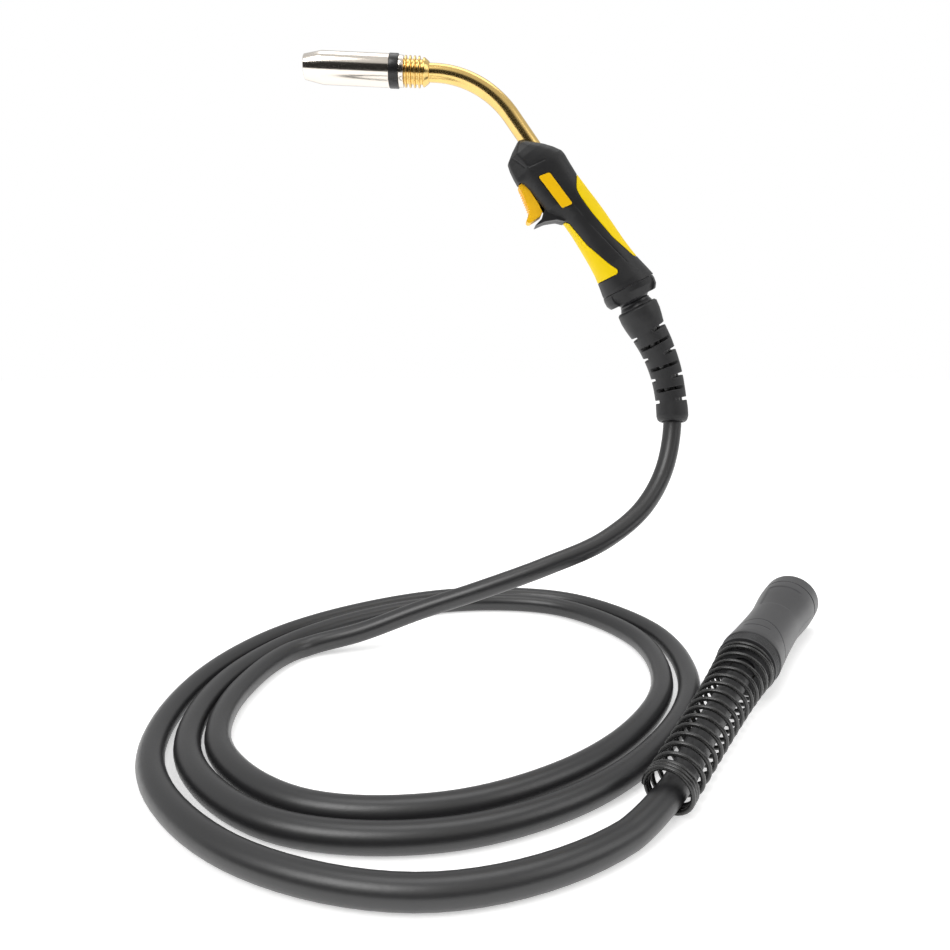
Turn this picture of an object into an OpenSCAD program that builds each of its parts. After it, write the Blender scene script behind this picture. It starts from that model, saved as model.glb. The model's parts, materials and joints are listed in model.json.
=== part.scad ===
// MIG welding torch with its hose and machine plug.
// The torch plane is XZ, the nozzle points along -X, a little upward, and Z is up.
// The origin is the middle of the hand grip; the floor lies floor_z below it.
// Four local frames are used: at_nozzle() runs back from the nozzle mouth,
// at_handle() runs down the handle from the neck, at_ball() along the cable side, at_plug() along the plug.

/* [Nozzle and neck] */
// Length of the gas nozzle
nozzle_len = 76; // [74:1:78]
// Outside diameter of the gas nozzle
nozzle_d = 27; // [26.5:0.5:29]
// Bore of the nozzle mouth
mouth_d = 16; // [14:1:17]
// Outside diameter of the neck tube
neck_d = 15.5; // [15:0.1:16]
// Centreline radius of the neck bend
neck_r = 90; // [88:1:92]
// Outside diameter of the cooling fins
fin_d = 25.5; // [24:0.5:27]
// Wire bore of the contact tip
wire_d = 1.4; // [1.2:0.1:1.8]

/* [Handle] */
// Wall of the handle shells
wall = 2.5; // [2.3:0.1:2.7]
// Thickness of the two grip inlays
inlay_t = 1.2; // [1:0.1:1.4]
// Swivel ball diameter
ball_d = 36; // [35.5:0.1:36]
// Diameter of the screws that join the shells
screw_d = 3; // [2.5:0.1:3]

/* [Hose] */
// Outside diameter of the hose
hose_d = 17; // [16:0.5:17]
// Number of slots in the bend protector
boot_slots = 7; // [5:2:7]

/* [Machine plug] */
// Outside diameter of the coupling nut
nut_d = 49; // [48.5:0.1:49]
// Inside diameter of the coupling nut's thread
nut_bore = 38.4; // [38:0.1:39]
// Diameter of the gas pin
gas_pin_d = 10; // [9.5:0.1:10]
// Diameter of the two sprung contact pins
contact_pin_d = 4; // [3.5:0.1:4]
// Diameter of the support spring's wire
spring_wire = 3; // [2.4:0.2:3]

/* [Hidden] */
$fn = 64;
fit = 0.05;
bend = 53.5;
floor_z = -373;
nozzle_tilt = 2.5;
bend_x = -149.4;
bend_z = 136.8;
neck_run = 31.3;
down_nozzle = [cos(nozzle_tilt), 0, -sin(nozzle_tilt)];
neck_start = [bend_x + neck_r * sin(nozzle_tilt), 0, bend_z - neck_r * (1 - cos(nozzle_tilt))];
nozzle_at = neck_start - (nozzle_len + 40.5) * down_nozzle;
down_handle = [cos(bend), 0, -sin(bend)];
bend_end = [bend_x + neck_r * sin(bend), 0, bend_z - neck_r * (1 - cos(bend))];
handle_at = bend_end + neck_run * down_handle;
ball_at = [34, 0, -51];
ball_tilt = atan(2);
ball_r = ball_d / 2;
liner_r = 20.5;
stem_s = norm([6, 12]);
plug_at = [108.8, -152.2, floor_z + 24.5];
plug_turn = 55.8;
along_plug = [cos(plug_turn), sin(plug_turn), 0];
rear_s = -20;
plug_rear = plug_at + rear_s * along_plug;
spring_at = plug_rear - 175.4 * along_plug - [0, 0, 9];
trigger_pin_at = [24.5, 0, -21.5];
screws_at = [[8, -19], [62, 13.3], [64, -15], [112, 13.5], [130, -13.2]];
pin_radius = 9.4;
lay = floor_z + 8.5;

// ---- Route of the hose: down from the ball, loose turns on the floor, then into the spring ----
drop = [[40, 0, -63], [50.2, 0, -83.4], [62.3, 0, -104.5], [71.6, 0, -126.5], [77, -1, -149], [79.3, -4, -171],
    [77, -10, -193], [68, -21, -222], [47, -37, -252], [10, -54, -278], [-45, -68, -299],
    [-104, -75, -319], [-160, -76, -338], [-212, -82, -356]];
turn_centre = [-128, -170];
turn_radii = [150, 160, 171, 166, 148, 137, 141, 162, 189, 203, 187, 170,
    169, 178, 190, 187, 171, 160, 162, 183, 212, 226, 208, 190,
    190, 198, 212, 213, 211, 198];
turns = [for (i = [0 : len(turn_radii) - 1])
    [turn_centre[0] + turn_radii[i] * cos(150 + 30 * i),
     turn_centre[1] + turn_radii[i] * sin(150 + 30 * i), lay]];
into_plug = [[-0.6, -313.3, -360.5], [37.4, -257.3, -355.2], [73, -205, -350.6],
    plug_rear - 14 * along_plug, plug_rear];
route = concat(drop, turns, into_plug);

// ---- Curves ----
function unit(v) = v / norm(v);
// Direction of the smooth curve through points p at point i
function slope(p, i) =
    i == 0 ? unit(p[1] - p[0]) :
    i == len(p) - 1 ? unit(p[i] - p[i - 1]) :
    let (a = norm(p[i] - p[i - 1]), b = norm(p[i + 1] - p[i]))
    ((p[i] - p[i - 1]) / a * b + (p[i + 1] - p[i]) / b * a) / (a + b);
// Point at fraction t between points i and i + 1, kept from dipping under the hose's resting height
function along(p, i, t) =
    let (d = norm(p[i + 1] - p[i]),
         q = (2 * t^3 - 3 * t^2 + 1) * p[i] + (t^3 - 2 * t^2 + t) * d * slope(p, i)
             + (3 * t^2 - 2 * t^3) * p[i + 1] + (t^3 - t^2) * d * slope(p, i + 1))
    [q[0], q[1], max(q[2], lay)];
// Point at parameter u, which counts the points of p
function on_curve(p, u) =
    let (i = min(floor(u), len(p) - 2)) along(p, i, u - i);

// Swept tube: a flat ring of n points at every point of the path, square to it; r may be a list.
// No part of the path may run along the direction given as up.
function ring_axes(path, i, up) =
    let (t = unit(path[min(i + 1, len(path) - 1)] - path[max(i - 1, 0)]), side = unit(cross(t, up)))
    [side, cross(side, t)];
module tube(path, r, n, up) {
    last = len(path) - 1;
    points = [for (i = [0 : last]) let (a = ring_axes(path, i, up), ri = is_list(r) ? r[i] : r)
        for (k = [0 : n - 1]) path[i] + ri * (cos(360 * k / n) * a[0] + sin(360 * k / n) * a[1])];
    sides = [for (i = [0 : last - 1], k = [0 : n - 1]) let (m = (k + 1) % n)
        each [[i * n + k, i * n + m, (i + 1) * n + m], [i * n + k, (i + 1) * n + m, (i + 1) * n + k]]];
    polyhedron(points = points, faces = concat(sides,
        [[for (k = [n - 1 : -1 : 0]) k]], [[for (k = [0 : n - 1]) last * n + k]]), convexity = 10);
}

// ---- Frames and small shapes ----
module at_nozzle() { translate(nozzle_at) rotate([0, nozzle_tilt, 0]) children(); }
module at_handle() { translate(handle_at) rotate([0, bend, 0]) children(); }
module at_ball() { translate(ball_at) rotate([0, ball_tilt, 0]) children(); }
module at_plug() { translate(plug_at) rotate([0, 0, plug_turn]) children(); }
// Solid of revolution about local X, from points [radius, distance along X]
module turned(points) { rotate([0, 90, 0]) rotate_extrude() polygon(points); }
module rod(x0, x1, r) { translate([x0, 0, 0]) rotate([0, 90, 0]) cylinder(h = x1 - x0, r = r); }
module hex(x0, x1, across) {
    translate([x0, 0, 0]) rotate([0, 90, 0]) cylinder(h = x1 - x0, d = across / cos(30), $fn = 6);
}
module cross_rod(x, z, y0, y1, r) {
    translate([x, y1, z]) rotate([90, 0, 0]) cylinder(h = y1 - y0, r = r);
}
// A side outline in the handle's X and Z, spread from y0 to y1
module side_plate(outline, y0, y1) {
    translate([0, y1, 0]) rotate([90, 0, 0]) linear_extrude(y1 - y0) polygon(outline);
}
// Wire wound about local X; place(t) is its distance and radius after t turns
module helix(turns, place, r) {
    tube([for (i = [0 : round(turns * 16)])
        let (t = i / 16, p = place(t)) [p[0], p[1] * cos(360 * t), p[1] * sin(360 * t)]], r, 6, [1, 0, 0]);
}

// ---- Nozzle end ----
module gas_nozzle() {
    r = nozzle_d / 2;
    color([0.86, 0.83, 0.78]) at_nozzle() turned([
        [mouth_d / 2, 0], [10.1, 0], [10.5, 0.6], [r, 16], [r, nozzle_len - 0.6],
        [r - 0.5, nozzle_len - 0.1], [11.15 + fit, nozzle_len - 0.1], [11.15 + fit, nozzle_len - 20.5],
        [10.5, nozzle_len - 20.5], [10.5, 30], [9.6, 14], [mouth_d / 2, 6]]);
}
module nozzle_spring() {
    color([0.7, 0.7, 0.72]) at_nozzle()
        helix(2.5, function(t) [nozzle_len - 13.3 + 1.3 * t, 10.6], 0.45);
}
module insulator_ring() {
    color([0.1, 0.1, 0.1]) at_nozzle() turned([
        [9, nozzle_len - 20], [10.7, nozzle_len - 20], [11.15, nozzle_len - 19], [11.15, nozzle_len - 14.5],
        [9.7, nozzle_len - 14.5], [9.7, nozzle_len - 8.8], [11.15, nozzle_len - 8.8], [11.15, nozzle_len],
        [13.6, nozzle_len], [14, nozzle_len + 0.5], [14, nozzle_len + 7.5],
        [13.6, nozzle_len + 8], [9, nozzle_len + 8]]);
}
module seat_collar() {
    color([0.8, 0.78, 0.74]) at_nozzle() turned([
        [9, nozzle_len + 8], [12.4, nozzle_len + 8], [12.8, nozzle_len + 8.4], [12.8, nozzle_len + 12.1],
        [12.4, nozzle_len + 12.5], [9, nozzle_len + 12.5]]);
}
module finned_socket() {
    x0 = nozzle_len + 12.5;
    color([0.85, 0.65, 0.25]) at_nozzle() difference() {
        union() {
            rod(nozzle_len - 22, x0, 9);
            rod(x0, x0 + 19, 10);
            for (i = [0 : 3]) translate([x0 + 1 + 4 * i, 0, 0])
                turned([[0, 0], [fin_d / 2 - 0.6, 0], [fin_d / 2, 0.5], [fin_d / 2, 1.4],
                    [fin_d / 2 - 0.6, 1.9], [0, 1.9]]);
            translate([x0 + 17, 0, 0])
                turned([[0, 0], [11.4, 0], [11.8, 0.5], [11.8, 1.5], [8.8, 5.6], [0, 5.6]]);
        }
        rod(nozzle_len - 23, nozzle_len - 10, 5);
        rod(nozzle_len - 11, x0 + 12, 5.25);
        rod(x0 + 11, x0 + 24, neck_d / 2);
    }
}
module contact_tip() {
    color([0.75, 0.45, 0.3]) at_nozzle() difference() {
        turned([[0, 6], [3.2, 6], [5, 12], [5, 30], [4, 30], [4, 41], [0, 41]]);
        rod(5, 42, wire_d / 2);
    }
}
module tip_holder() {
    color([0.72, 0.55, 0.3]) at_nozzle() difference() {
        turned([[2.5, 30], [5.7, 30], [6, 30.4], [6, 54], [5, 54], [5, 66], [2.5, 66]]);
        rod(29, 41, 4);
        for (a = [0 : 90 : 270]) rotate([a, 0, 0]) translate([48, 0, 0]) cylinder(h = 8, r = 1);
    }
}
module gas_diffuser() {
    color([0.9, 0.88, 0.82]) at_nozzle() difference() {
        turned([[6, 42], [9, 42], [9.5, 42.5], [9.5, 53.5], [9, 54], [6, 54]]);
        for (a = [0 : 45 : 315]) rotate([a, 0, 0]) translate([44.5, 0, 5]) cylinder(h = 8, r = 1);
    }
}

// ---- Neck: each layer is a tube that follows the same bend ----
function neck_path(x0, x1) = concat(
    [nozzle_at + x0 * down_nozzle],
    [for (i = [0 : 8]) let (a = nozzle_tilt + (bend - nozzle_tilt) * i / 8)
        [bend_x + neck_r * sin(a), 0, bend_z - neck_r * (1 - cos(a))]],
    [handle_at + x1 * down_handle]);
module neck_layer(x0, x1, r, bore, n) {
    difference() {
        tube(neck_path(x0, x1), r, n, [0, 1, 0]);
        tube(neck_path(x0 - 1, x1 + 1), bore, n, [0, 1, 0]);
    }
}
module neck_tube() { color([0.85, 0.65, 0.25]) neck_layer(nozzle_len + 24, 38, neck_d / 2, 6.75, 24); }
module neck_insulation() { color([0.3, 0.3, 0.32]) neck_layer(nozzle_len + 24.5, 38, 6.75, 5.25, 12); }
module neck_conductor() { color([0.75, 0.45, 0.3]) neck_layer(nozzle_len + 2, 46, 5.25, 2.5, 12); }
module wire_liner() { color([0.55, 0.55, 0.58]) neck_layer(42, 135, 2.3, 1.2, 12); }

// ---- Handle ----
// Stations down the handle: distance, top, bottom, half width, squareness
stations = [[-9, -6, -11, 9, 2], [-5, -1.5, -19, 13, 2.4], [0, 3, -27, 15.6, 2.6],
    [6, 9, -28.8, 16.8, 2.6], [13, 14.5, -30, 17.4, 2.6], [20, 18.6, -30.6, 17.6, 2.7],
    [24, 19, -28, 17.6, 2.8], [32, 18.4, -26.3, 17.6, 2.8], [44, 17.8, -26, 17.6, 2.8],
    [56, 18.5, -25, 17.4, 2.7], [62, 18.9, -21.5, 17, 2.5], [67, 19.3, -18, 16.6, 2.4],
    [74, 19.8, -16, 16.3, 2.3], [86, 20.2, -15.9, 16.2, 2.3], [100, 20.3, -16.7, 16.6, 2.2],
    [116, 20.2, -17.8, 17.8, 2.2], [128, 20.8, -19.2, 19.4, 2.1], [138, 21.8, -21.4, 21.4, 2],
    [148, 23.4, -24, 23.4, 2], [162, 25.4, -26, 25, 2]];
section_n = 24;
function signed_pow(v, e) = sign(v) * pow(abs(v), e);
function section(s, inset) =
    let (top = s[1] - inset, low = s[2] + inset, w = s[3] - inset, h = (top - low) / 2)
    [for (k = [0 : section_n - 1]) let (a = 360 * k / section_n)
        [s[0], w * signed_pow(cos(a), 2 / s[4]), (top + low) / 2 + h * signed_pow(sin(a), 2 / s[4])]];
module loft(inset, first) {
    rows = [for (i = [first : len(stations) - 1]) section(stations[i], inset)];
    last = len(rows) - 1;
    n = section_n;
    sides = [for (i = [0 : last - 1], k = [0 : n - 1]) let (m = (k + 1) % n)
        [i * n + k, (i + 1) * n + k, (i + 1) * n + m, i * n + m]];
    polyhedron(points = [for (r = rows) each r], faces = concat(sides,
        [[for (k = [0 : n - 1]) k]], [[for (k = [n - 1 : -1 : 0]) last * n + k]]), convexity = 10);
}
palm_outline = [[44.5, 17], [55.5, 7.6], [62, 6.7], [80, 7.1], [110, 10.2],
    [136, 17.3], [135, 30], [44.5, 30]];
front_outline = [[72, -30], [72, -15.5], [76, -13.6], [102, -11.8], [128, -6.2],
    [135.5, -3.6], [138.4, -5.7], [134.5, -24], [134, -30]];
guard_outline = [[48, -12], [49, -17], [52, -23], [57.3, -30], [59, -40.3],
    [61.5, -30], [66.5, -20.5], [72, -15.9], [72, -12]];
label_outline = [[27.6, -13.2], [28.6, -14.1], [61.2, -12.6], [62.2, -11.8],
    [64.2, -3.8], [63.4, -2.8], [31.2, -4], [30.2, -4.8]];
module handle_skin() {
    union() {
        difference() {
            loft(0, 0);
            side_plate(palm_outline, -30, 30);
            side_plate(front_outline, -30, 30);
        }
        loft(inlay_t, 1);
        side_plate(guard_outline, -10, 10);
    }
}
module shell(side) {
    difference() {
        union() {
            difference() {
                handle_skin();
                loft(wall, 1);
            }
            intersection() {
                loft(inlay_t, 1);
                union() {
                    for (p = screws_at) cross_rod(p[0], p[1], -30, 30, 4.4);
                    for (y = [-30, 8.2]) cross_rod(trigger_pin_at[0], trigger_pin_at[2], y, y + 21.8, 4);
                    for (y = [-30, 2.9]) translate([37, y, -16]) cube([10, 27.1, 3]);
                }
            }
        }
        translate([-60, side > 0 ? -40 : 0, -60]) cube([240, 40, 120]);
        translate([20.9, -8, -60]) cube([36.3, 16, 39.5]);
        rod(-20, 12, neck_d / 2);
        for (p = screws_at) {
            cross_rod(p[0], p[1], -9, 20, screw_d / 2);
            cross_rod(p[0], p[1], 6, 40, 3);
        }
        cross_rod(trigger_pin_at[0], trigger_pin_at[2], -13, 13, 1.5);
        for (y = [-18, 16.4]) side_plate(label_outline, y, y + 1.6);
        rotate([0, -bend, 0]) translate(-handle_at) at_ball()
            translate([-2.5, -50, -50]) cube([80, 100, 100]);
    }
}
module shell_left() { color([0.07, 0.07, 0.08]) at_handle() shell(1); }
module shell_right() { color([0.07, 0.07, 0.08]) at_handle() shell(-1); }
module shell_screws() {
    color([0.5, 0.5, 0.52]) at_handle() for (p = screws_at) difference() {
        union() {
            cross_rod(p[0], p[1], -9, 6, screw_d / 2);
            cross_rod(p[0], p[1], 6, 8, 2.8);
        }
        translate([p[0], 9, p[1]]) rotate([90, 0, 0]) cylinder(h = 2.2, d = 2.4, $fn = 6);
    }
}
module rear_collar() {
    color([0.08, 0.08, 0.09]) at_ball() difference() {
        union() {
            turned([[14, -10], [19.2, -10], [21, -2.5], [24.2, -2.5], [23.6, 3], [20.2, 9.8],
                [19.6, 10.2], [14, 10.2]]);
            intersection() {
                turned([[14, -2.5], [24.4, -2.5], [25, 1], [24.6, 6], [22.6, 9.6], [21.8, 10.2], [14, 10.2]]);
                translate([-10, -14, -30]) cube([30, 28, 60]);
            }
        }
        sphere(r = liner_r + fit);
        rod(-11, 0, 18);
        turned([[0, 0], [17.4, 0], [17.4, 8.5], [18.6, 11], [0, 11]]);
    }
}
module inlay(outline) {
    difference() {
        intersection() {
            loft(0, 0);
            side_plate(outline, -30, 30);
        }
        loft(inlay_t, 1);
    }
}
module palm_inlay() { color([0.96, 0.83, 0.1]) at_handle() inlay(palm_outline); }
module front_inlay() { color([0.96, 0.83, 0.1]) at_handle() inlay(front_outline); }
module label_plates() {
    color([0.95, 0.75, 0.08]) at_handle() for (y = [-17.9, 16.4]) side_plate(label_outline, y, y + 1.5);
}
module neck_clamp() {
    color([0.35, 0.35, 0.38]) at_handle() difference() {
        union() {
            rod(13, 32, 10);
            translate([15, -9, -12]) cube([7, 18, 22]);
        }
        rod(12, 33, neck_d / 2);
    }
}
module cable_nut() {
    color([0.8, 0.62, 0.28]) at_handle() difference() {
        hex(38, 52, 18);
        rod(37, 46, 5.25);
        rod(45, 53, 2.3);
    }
}
module handle_cable() {
    color([0.12, 0.12, 0.13]) at_handle() difference() {
        rod(52, 136, hose_d / 2);
        rod(51, 137, 2.3);
    }
}
module trigger() {
    color([0.96, 0.7, 0.08]) at_handle() difference() {
        union() {
            side_plate([[21.5, -25], [21.6, -31], [28.9, -33], [40.8, -35.7], [46.4, -37.2],
                [49.4, -41.6], [51.4, -43.2], [54.2, -41], [55, -30], [53, -26.8], [46, -25.6],
                [28, -25]], -7.4, 7.4);
            side_plate([[21.5, -25.2], [21.5, -21.5], [27.5, -21.5], [28, -25.2]], -7.4, 3.6);
            cross_rod(trigger_pin_at[0], trigger_pin_at[2], -7.4, 3.6, 3);
            side_plate([[40.5, -26], [40.5, -20.8], [43.5, -20.8], [43.5, -26]], -2, 2);
        }
        cross_rod(trigger_pin_at[0], trigger_pin_at[2], -9, 9, 1.5 + fit);
        for (i = [0 : 9]) cross_rod(27 + 2 * i, -32.4 - 0.43 * i - 1.0, -9, 9, 0.55);
    }
}
module trigger_pin() {
    color([0.7, 0.7, 0.72]) at_handle() cross_rod(trigger_pin_at[0], trigger_pin_at[2], -13, 13, 1.5);
}
module trigger_spring() {
    color([0.7, 0.7, 0.72]) at_handle() translate([trigger_pin_at[0], 4.4, trigger_pin_at[2]])
        rotate([0, 0, 90]) helix(2.75, function(t) [0.9 * t, 2], 0.4);
}
module micro_switch() {
    color([0.15, 0.15, 0.16]) at_handle() difference() {
        union() {
            translate([35.6, -2.9, -17.5]) cube([12.8, 5.8, 6.5]);
            for (y = [-1.6, 1.6]) translate([48.4, y - 0.9, -15.4]) cube([1.6, 1.8, 2.8]);
        }
        translate([42, 0, -18]) cylinder(h = 5, r = 1.2 + fit);
        for (x = [38.8, 45.2]) cross_rod(x, -13, -4, 4, 0.9);
    }
}
module switch_plunger() {
    color([0.8, 0.2, 0.15]) at_handle() translate([42, 0, -20.6]) cylinder(h = 4.6, r = 1.2);
}
module switch_leads() {
    path = [[50, -14], [54, -14], [57, -9.55], [124, -9.55]];
    color([0.55, 0.1, 0.1]) at_handle() for (y = [-1.6, 1.6]) {
        for (i = [0 : 2]) let (a = path[i], b = path[i + 1]) translate([a[0], y, a[1]])
            rotate([0, 90 - atan2(b[1] - a[1], b[0] - a[0]), 0]) cylinder(h = norm(b - a), r = 0.85);
        for (i = [1 : 2]) translate([path[i][0], y, path[i][1]]) sphere(r = 0.85);
    }
}

// ---- Ball joint and bend protector ----
module socket_liner() {
    color([0.85, 0.85, 0.8]) at_ball() difference() {
        intersection() {
            sphere(r = liner_r);
            rod(-8, 7, 30);
        }
        sphere(r = ball_r + fit);
    }
}
module ball_joint() {
    color([0.16, 0.16, 0.17]) at_ball() difference() {
        union() {
            intersection() {
                sphere(r = ball_r);
                rod(-12, 16, 30);
            }
            rod(10, 34, 12);
            turned([[11, 12.8], [13.8, 12.8], [14, 14.6], [15.2, 17.2], [15.2, 18], [11, 18]]);
        }
        rod(-13, stem_s, 8);
        rod(stem_s, 35, hose_d / 2 + 1);
        turned([[0, -13], [11, -13], [8, -9], [0, -9]]);
    }
}
module cable_ferrule() {
    color([0.8, 0.62, 0.28]) at_ball() difference() {
        rod(-8.9, stem_s, 8);
        rod(-10, 15, 2.3);
    }
}
// The bend protector follows the hose's route: its places along it, with the radius at each
boot_stations = [[0.205, 17.4], [0.28, 19], [0.61, 19], [0.9, 18.2], [1.27, 16.6], [1.75, 16], [2.24, 15.4],
    [2.74, 15], [3.25, 14.7], [3.76, 14.5], [4.3, 14.4], [4.62, 14.8], [4.95, 14.8], [5.1, 13.8], [5.18, 12]];
slot_gap = 2.8;
bridge = 15.5;
slot_turns = [30, 102];
module on_route(u) {
    t = unit(on_curve(route, u + 0.02) - on_curve(route, u - 0.02));
    translate(on_curve(route, u)) rotate([0, -asin(t[2]), atan2(t[1], t[0])]) children();
}
module bend_protector() {
    places = [for (s = boot_stations) on_curve(route, s[0])];
    bore = [for (u = [0.16 : 0.46 : 5.22]) on_curve(route, u)];
    color([0.09, 0.09, 0.1]) difference() {
        tube(places, [for (s = boot_stations) s[1]], 24, [0, 1, 0]);
        tube(bore, hose_d / 2 + 1, 16, [0, 1, 0]);
        at_ball() rod(17, 34, 12);
        for (k = [0 : boot_slots - 1]) on_route(1.316 + 0.49 * k) rotate([slot_turns[k % 2], 0, 0])
            for (z = [bridge / 2, -bridge / 2 - 30])
                translate([-slot_gap / 2, -30, z]) cube([slot_gap, 60, 30]);
    }
}

// ---- Hose ----
module hose() {
    counts = [for (i = [0 : len(route) - 2]) norm(route[i + 1] - route[i]) > 55 ? 2 : 1];
    path = concat(
        [for (i = [0 : len(route) - 2]) for (j = [0 : counts[i] - 1]) along(route, i, j / counts[i])],
        [route[len(route) - 1]]);
    color([0.13, 0.13, 0.14]) tube(path, hose_d / 2, 12, [0, 1, 1]);
}

// ---- Support spring: closed turns at its free end, open turns, then two turns on the nipple ----
spring_axis = plug_rear - spring_at;
spring_len = norm(spring_axis);
spring_turns = 18;
function spring_place(t) =
    let (pitch = spring_wire + 0.1,
         x = t < 2.5 ? pitch * t :
             t > spring_turns - 1.5 ? spring_len - 1.8 - pitch * (spring_turns - t) :
             2.5 * pitch + (t - 2.5) * (spring_len - 1.8 - 4 * pitch) / (spring_turns - 4),
         f = x / spring_len)
    [x, 14 + 3 * f + 3.5 * pow(f, 4)];
module support_spring() {
    color([0.05, 0.05, 0.055]) translate(spring_at)
        rotate([0, 0, plug_turn]) rotate([0, -asin(spring_axis[2] / spring_len), 0])
            helix(spring_turns, function(t) spring_place(t), spring_wire / 2);
}

// ---- Machine plug ----
function housing_r(s) = s < 75 ?
    21.3 + 1.7 * pow((75 - s) / 75, 2) :
    21.3 + 3.1 * (1 - cos(180 * (s - 75) / 65)) / 2;
module spring_nipple() {
    grooves = [for (i = [0 : 8]) let (x = 0.8 + 1.4 * i)
        each [[22.3, x], [22.3, x + 0.6], [21.8, x + 0.8], [21.8, x + 1.2]]];
    color([0.14, 0.14, 0.15]) at_plug() translate([rear_s, 0, 0]) turned(concat(
        [[hose_d / 2 + 0.7, -8], [18.6, -8], [18.8, -7.6], [18.8, 0], [22, 0]], grooves,
        [[22, 14], [9, 14], [9, 0], [hose_d / 2 + 0.7, 0]]));
}
module rear_ferrule() {
    color([0.8, 0.62, 0.28]) at_plug() difference() {
        rod(rear_s, 45, 9);
        rod(rear_s - 1, 46, 2.6);
    }
}
housing_screws_at = [[52, 14.5], [52, -14.5]];
module housing_half(side) {
    steps = [for (i = [0 : 20]) 7 * i];
    difference() {
        union() {
            difference() {
                turned(concat([[0, rear_s + 14], [21.8, rear_s + 14], [22.9, rear_s + 15]],
                    [for (s = steps) [housing_r(s), s]], [[0, 140]]));
                turned(concat([[0, 0]], [for (s = steps) if (s <= 122) [housing_r(s) - wall, s]],
                    [[housing_r(126) - wall, 126], [0, 126]]));
            }
            intersection() {
                rod(18, 60, 19.5);
                for (p = housing_screws_at) translate([p[0], p[1], -20]) cylinder(h = 40, r = 4.2);
            }
        }
        rod(rear_s + 13, 1, 9);
        rod(125, 141, 12);
        rod(130, 141, 15.5);
        for (p = housing_screws_at) translate([p[0], p[1], 0]) {
            translate([0, 0, -14]) cylinder(h = 22, d = screw_d);
            translate([0, 0, -34]) cylinder(h = 22, r = 3);
        }
        translate([-10, -60, side > 0 ? -60 : 0]) cube([200, 120, 60]);
    }
}
module housing_top() { color([0.16, 0.16, 0.17]) at_plug() housing_half(1); }
module housing_bottom() { color([0.16, 0.16, 0.17]) at_plug() housing_half(-1); }
module housing_screws() {
    color([0.5, 0.5, 0.52]) at_plug() for (p = housing_screws_at) translate([p[0], p[1], 0]) difference() {
        union() {
            translate([0, 0, -12]) cylinder(h = 20, d = screw_d);
            translate([0, 0, -14]) cylinder(h = 2, r = 2.8);
        }
        translate([0, 0, -15]) cylinder(h = 2.2, d = 2.4, $fn = 6);
    }
}
module adaptor_body() {
    color([0.82, 0.64, 0.28]) at_plug() difference() {
        turned([[2.6, 45], [7, 45], [7, 60], [11, 60], [11, 126], [12, 126], [12, 130], [15.5, 130],
            [15.5, 144.4], [18.3, 144.4], [18.3, 147.4], [2.6, 147.4]]);
        rod(135, 148, gas_pin_d / 2);
        for (y = [-pin_radius, pin_radius]) translate([0, y, 0]) rod(131, 148, 3.3);
    }
}
module insulator_face() {
    color([0.12, 0.12, 0.13]) at_plug() difference() {
        union() {
            rod(147.4, 150.4, 18.3);
            for (y = [-pin_radius, pin_radius]) translate([0, y, 0]) rod(131, 148, 3.3);
        }
        rod(147, 151, gas_pin_d / 2);
        for (y = [-pin_radius, pin_radius]) translate([0, y, 0]) rod(131.6, 151, contact_pin_d / 2 + fit);
    }
}
module gas_pin() {
    color([0.86, 0.68, 0.3]) at_plug() difference() {
        rod(135, 158, gas_pin_d / 2);
        rod(134, 159, 2.6);
        for (x = [151.8, 155]) turned([[3.8, x], [8, x], [8, x + 1.7], [3.8, x + 1.7]]);
    }
}
module o_rings() {
    color([0.06, 0.06, 0.06]) at_plug() for (x = [151.8, 155]) translate([x + 0.85, 0, 0])
        rotate([0, 90, 0]) rotate_extrude() translate([4.55, 0]) circle(r = 0.75);
}
module liner_nut() {
    color([0.8, 0.62, 0.28]) at_plug() difference() {
        hex(158, 161.5, 8);
        rod(157, 162, 1.2);
    }
}
module coupling_nut() {
    color([0.18, 0.18, 0.19]) at_plug() turned([
        [15.5 + fit, 140.6], [nut_d / 2 - 0.8, 140.6], [nut_d / 2, 141.4], [nut_d / 2, 160.5],
        [nut_d / 2 - 2.5, 163], [nut_bore / 2 + 0.8, 163], [nut_bore / 2, 162.2], [nut_bore / 2, 144.2],
        [15.5 + fit, 144.2]]);
}
module contact_pin(y) {
    color([0.86, 0.68, 0.3]) at_plug() translate([0, y, 0])
        turned([[0, 136], [contact_pin_d / 2, 136], [contact_pin_d / 2, 155.4], [1.2, 156.4], [0, 156.4]]);
}
module contact_pin_a() { contact_pin(pin_radius); }
module contact_pin_b() { contact_pin(-pin_radius); }

gas_nozzle();
nozzle_spring();
insulator_ring();
seat_collar();
finned_socket();
contact_tip();
tip_holder();
gas_diffuser();
neck_tube();
neck_insulation();
neck_conductor();
wire_liner();
shell_left();
shell_right();
shell_screws();
rear_collar();
palm_inlay();
front_inlay();
label_plates();
neck_clamp();
cable_nut();
handle_cable();
trigger();
trigger_pin();
trigger_spring();
micro_switch();
switch_plunger();
switch_leads();
socket_liner();
ball_joint();
cable_ferrule();
bend_protector();
hose();
support_spring();
spring_nipple();
rear_ferrule();
housing_top();
housing_bottom();
housing_screws();
adaptor_body();
insulator_face();
gas_pin();
o_rings();
liner_nut();
coupling_nut();
contact_pin_a();
contact_pin_b();
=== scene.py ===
import json
import math

import bmesh
import bpy
from mathutils import Matrix, Vector


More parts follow.
